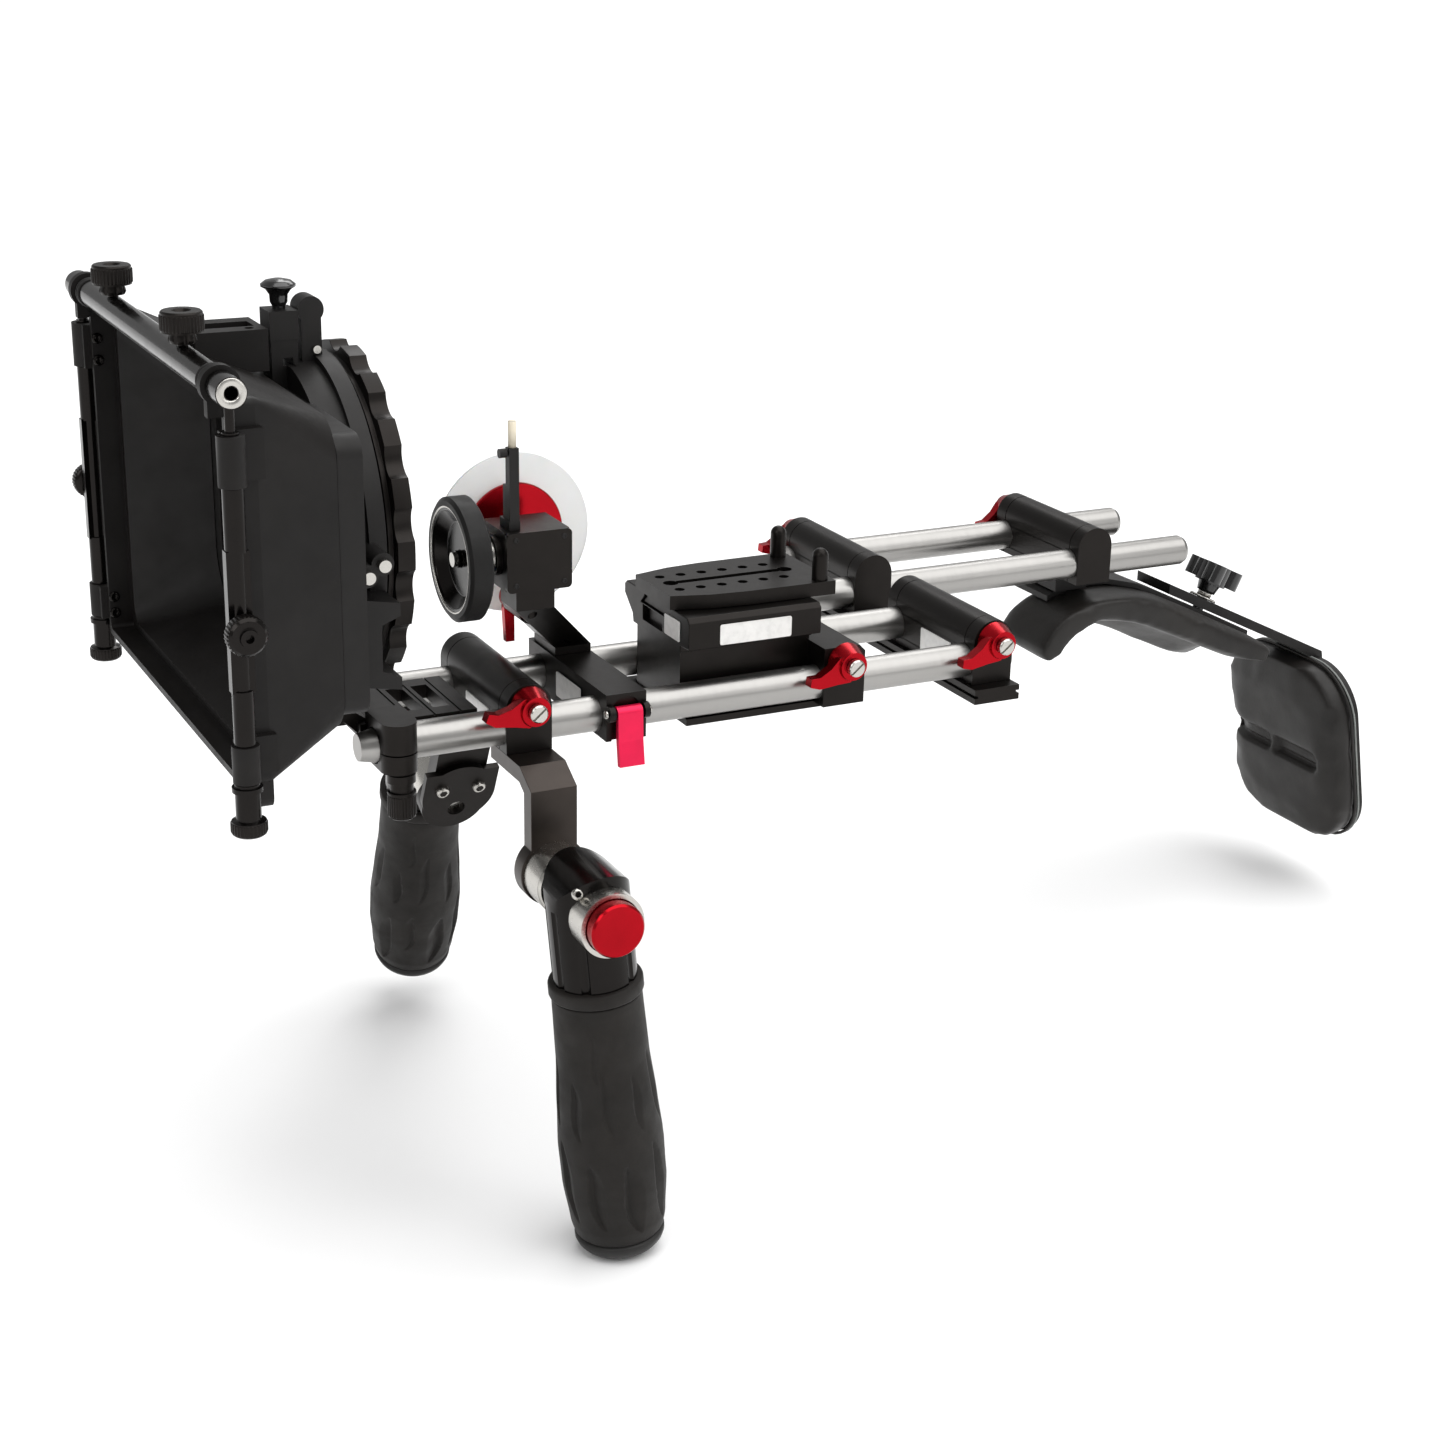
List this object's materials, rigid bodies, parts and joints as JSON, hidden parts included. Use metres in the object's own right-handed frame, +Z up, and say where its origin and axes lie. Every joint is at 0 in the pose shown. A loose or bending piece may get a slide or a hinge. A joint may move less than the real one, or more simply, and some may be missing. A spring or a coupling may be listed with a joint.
{
  "type": "cinema camera rig",
  "caption": "Shoulder-mounted camera rig: matte box, friction follow focus, rod clamps, offset shoulder and back pads, two hand grips.",
  "frame": {"origin": "mouth of the tripod thread on the underside of the base plate", "axes": "+X to the operator's left, +Y backwards along the rods to the shoulder, +Z up; the matte box is at -Y"},
  "size_m": [0.3033, 0.6887, 0.3925],
  "materials": {
    "bare_aluminium": "satin",
    "black_anodised": "satin",
    "bright_steel": "satin",
    "red_anodised": "satin",
    "hood_plastic": "matte",
    "grip_rubber": "matte",
    "frosted_acrylic": "matte",
    "padded_leather": "satin",
    "black_plastic": "satin"
  },
  "bodies": {
    "frame": {"main_rod_left": "bare_aluminium", "main_rod_right": "bare_aluminium", "offset_rod_left": "bare_aluminium", "offset_rod_right": "bare_aluminium", "handle_crossbar": "black_anodised", "rear_crossbar": "black_anodised", "offset_crossbar": "black_anodised", "pad_crossbar": "black_anodised", "crossbar_jaws": "black_anodised", "tie_bolts": "bright_steel", "offset_rail": "black_anodised", "frame_screws": "black_anodised", "base_plate": "black_anodised", "base_slab": "black_anodised", "handle_bracket_left": "black_anodised", "handle_bracket_right": "black_anodised", "rosette_discs": "bright_steel", "pad_arm": "black_anodised", "shoulder_pad": "padded_leather"},
    "handle_bar_lever": {"handle_crossbar_lever": "red_anodised"},
    "rear_bar_lever": {"rear_crossbar_lever": "red_anodised"},
    "offset_bar_lever": {"offset_crossbar_lever": "red_anodised"},
    "pad_bar_lever": {"pad_crossbar_lever": "red_anodised"},
    "base_lever": {"base_plate_lever": "red_anodised"},
    "camera_slide": {"camera_plate": "black_anodised"},
    "left_handle": {"handle_head_left": "black_anodised", "button_collar_left": "bright_steel", "grip_left": "grip_rubber"},
    "left_button": {"push_button_left": "red_anodised"},
    "right_handle": {"handle_head_right": "black_anodised", "button_collar_right": "bright_steel", "grip_right": "grip_rubber"},
    "right_button": {"push_button_right": "red_anodised"},
    "focus_unit": {"focus_clamp": "black_anodised", "focus_arm": "black_anodised", "focus_housing": "black_anodised", "focus_pointer": "black_anodised"},
    "clamp_release": {"focus_clamp_lever": "red_anodised"},
    "arm_release": {"focus_far_lever": "red_anodised"},
    "focus_drive": {"drive_shaft": "bright_steel", "wheel_dish": "black_anodised", "friction_tyre": "grip_rubber"},
    "focus_hand": {"hand_shaft": "black_anodised", "hand_wheel": "red_anodised", "marking_disc": "frosted_acrylic"},
    "matte_box": {"matte_hood": "hood_plastic", "flag_bar": "black_anodised", "filter_stage": "black_anodised", "latch_pins": "bright_steel", "matte_foot": "black_anodised"},
    "bar_screw_left": {"flag_thumbscrew_left": "black_anodised"},
    "bar_screw_right": {"flag_thumbscrew_right": "black_anodised"},
    "flag_hinge_left": {"flag_rod_left": "black_anodised"},
    "flag_hinge_right": {"flag_rod_right": "black_anodised"},
    "latch_pull": {"latch_knob": "black_anodised"},
    "ring": {"lens_ring": "black_anodised"},
    "foot_screw": {"foot_thumbscrew": "black_anodised"},
    "strut_knob": {"pad_knob": "black_plastic"},
    "back_support": {"back_board": "black_anodised", "back_pad": "padded_leather"}
  },
  "joints": [
    {"name": "handle_bar_lever_turn", "type": "hinge", "parent": "frame", "child": "handle_bar_lever", "pos_m": [0.042, -0.1075, 0.0218], "axis": [-1, 0, 0], "range_deg": [0, 80]},
    {"name": "rear_bar_lever_turn", "type": "hinge", "parent": "frame", "child": "rear_bar_lever", "pos_m": [0.042, 0.1145, 0.0218], "axis": [-1, 0, 0], "range_deg": [0, 90]},
    {"name": "offset_bar_lever_turn", "type": "hinge", "parent": "frame", "child": "offset_bar_lever", "pos_m": [-0.153, 0.117, 0.0218], "axis": [-1, 0, 0], "range_deg": [0, 90]},
    {"name": "pad_bar_lever_turn", "type": "hinge", "parent": "frame", "child": "pad_bar_lever", "pos_m": [-0.153, 0.2455, 0.0218], "axis": [-1, 0, 0], "range_deg": [0, 90]},
    {"name": "base_lever_turn", "type": "hinge", "parent": "frame", "child": "base_lever", "pos_m": [0.042, 0.039, 0.0218], "axis": [-1, 0, 0], "range_deg": [0, 90]},
    {"name": "camera_plate_slide", "type": "slide", "parent": "frame", "child": "camera_slide", "axis": [0, 1, 0], "range_m": [-0.015, 0.03]},
    {"name": "left_handle_pitch", "type": "hinge", "parent": "frame", "child": "left_handle", "pos_m": [0.072, -0.1075, -0.041], "axis": [1, 0, 0], "range_deg": [-60, 60]},
    {"name": "left_button_press", "type": "slide", "parent": "left_handle", "child": "left_button", "axis": [-1, 0, 0], "range_m": [0, 0.0028], "stiffness_N_per_m": 600},
    {"name": "right_handle_pitch", "type": "hinge", "parent": "frame", "child": "right_handle", "pos_m": [-0.0617, -0.1065, -0.0511], "axis": [0.8988, 0, -0.4384], "range_deg": [-60, 60]},
    {"name": "right_button_press", "type": "slide", "parent": "right_handle", "child": "right_button", "axis": [0.8988, 0, -0.4384], "range_m": [0, 0.0028], "stiffness_N_per_m": 600},
    {"name": "focus_slide", "type": "slide", "parent": "frame", "child": "focus_unit", "axis": [0, 1, 0], "range_m": [-0.006, 0.012]},
    {"name": "clamp_release_turn", "type": "hinge", "parent": "focus_unit", "child": "clamp_release", "pos_m": [0.0436, -0.066, 0.0153], "axis": [0, -1, 0], "range_deg": [0, 100]},
    {"name": "arm_release_turn", "type": "hinge", "parent": "focus_unit", "child": "arm_release", "pos_m": [-0.019, -0.09, 0.0495], "axis": [-1, 0, 0], "range_deg": [0, 100]},
    {"name": "focus_hand_turn", "type": "hinge", "parent": "focus_unit", "child": "focus_hand", "pos_m": [-0.03, -0.087, 0.0753], "axis": [1, 0, 0], "continuous": true},
    {"name": "focus_drive_turn", "type": "hinge", "parent": "focus_unit", "child": "focus_drive", "pos_m": [0, -0.118, 0.0753], "axis": [0, 1, 0], "continuous": true},
    {"name": "matte_box_slide", "type": "slide", "parent": "frame", "child": "matte_box", "axis": [0, 1, 0], "range_m": [-0.006, 0.005]},
    {"name": "bar_screw_left_turn", "type": "hinge", "parent": "matte_box", "child": "bar_screw_left", "pos_m": [0.052, -0.2445, 0.1865], "axis": [0, 0, 1], "continuous": true},
    {"name": "bar_screw_right_turn", "type": "hinge", "parent": "matte_box", "child": "bar_screw_right", "pos_m": [-0.052, -0.2445, 0.1865], "axis": [0, 0, 1], "continuous": true},
    {"name": "flag_left_swing", "type": "hinge", "parent": "matte_box", "child": "flag_hinge_left", "pos_m": [0.109, -0.2445, 0.0915], "axis": [0, 0, 1], "range_deg": [-90, 90]},
    {"name": "flag_right_swing", "type": "hinge", "parent": "matte_box", "child": "flag_hinge_right", "pos_m": [-0.109, -0.2445, 0.0915], "axis": [0, 0, 1], "range_deg": [-90, 90]},
    {"name": "latch_pull_lift", "type": "slide", "parent": "matte_box", "child": "latch_pull", "axis": [0, 0, 1], "range_m": [0, 0.004], "stiffness_N_per_m": 500},
    {"name": "lens_ring_turn", "type": "hinge", "parent": "matte_box", "child": "ring", "pos_m": [0, -0.17, 0.0995], "axis": [0, 1, 0], "range_deg": [-45, 45]},
    {"name": "foot_screw_turn", "type": "hinge", "parent": "matte_box", "child": "foot_screw", "pos_m": [0.0406, -0.1635, -0.0035], "axis": [0, 0, 1], "continuous": true},
    {"name": "strut_knob_turn", "type": "hinge", "parent": "frame", "child": "strut_knob", "pos_m": [-0.1115, 0.3455, -0.02833], "axis": [0, 0.4274, 0.9041], "continuous": true},
    {"name": "back_strut_slide", "type": "slide", "parent": "frame", "child": "back_support", "axis": [0, 0.9041, -0.4274], "range_m": [-0.012, 0.015]}
  ],
  "couplings": [
    {"joint": "focus_drive_turn", "follows": "focus_hand_turn", "ratio": -1}
  ]
}
